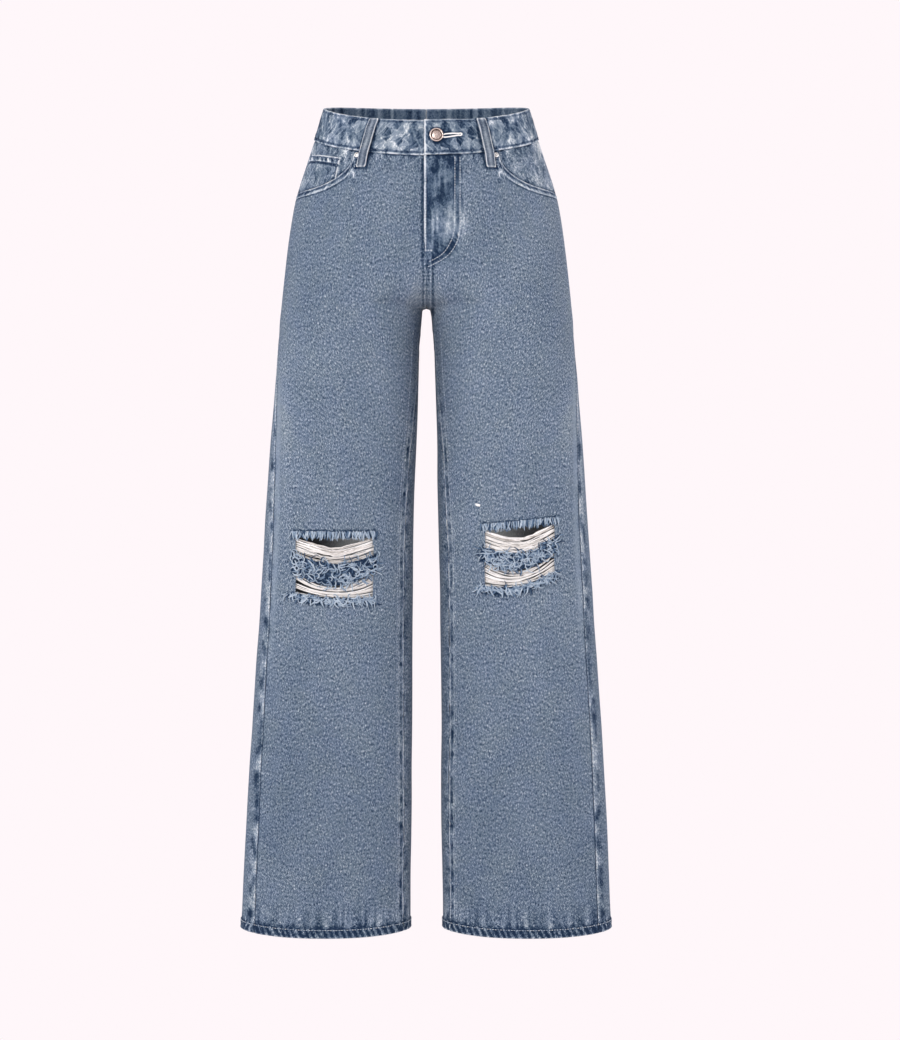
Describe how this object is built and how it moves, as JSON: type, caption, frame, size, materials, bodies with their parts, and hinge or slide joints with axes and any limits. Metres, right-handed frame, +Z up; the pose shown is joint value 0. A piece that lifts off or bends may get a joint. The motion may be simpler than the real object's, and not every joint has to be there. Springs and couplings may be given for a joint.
{
  "type": "ripped wide-leg jeans",
  "caption": "Wide-leg denim jeans with ripped knees, filled out as worn, with an open waist and hems, scooped front pockets and belt loops.",
  "frame": {"origin": "middle of the waist, level with the waistband's front edge", "axes": "+Z up along the legs, -Y out of the front, +X to the wearer's left"},
  "size_m": [0.4628, 0.2199, 1.0361],
  "materials": {
    "denim": "washed, pale blue twill",
    "pale_denim": "worn, paler twill",
    "blue_thread": "frayed cotton",
    "weft_thread": "undyed cotton",
    "copper": "satin, copper pink",
    "nickel": "polished"
  },
  "bodies": {
    "root": {"front_right": "denim", "back_right": "denim", "yoke_right": "denim", "waistband_right": "denim", "pocket_facing_right": "denim", "back_pocket_right": "denim", "front_left": "denim", "back_left": "denim", "yoke_left": "denim", "waistband_left": "denim", "pocket_facing_left": "denim", "back_pocket_left": "denim", "coin_pocket": "denim", "belt_loop_front_right": "pale_denim", "belt_loop_front_left": "pale_denim", "belt_loop_back_right": "pale_denim", "belt_loop_back_left": "pale_denim", "belt_loop_back_centre": "pale_denim", "weft_upper_right": "weft_thread", "weft_lower_right": "weft_thread", "weft_upper_left": "weft_thread", "weft_lower_left": "weft_thread", "fringe_top_right": "blue_thread", "fringe_strip_right": "blue_thread", "fringe_bottom_right": "blue_thread", "fringe_top_left": "blue_thread", "fringe_strip_left": "blue_thread", "fringe_bottom_left": "blue_thread", "pocket_rivet_right": "nickel", "pocket_rivet_left": "nickel", "waist_button": "copper"}
  },
  "joints": []
}
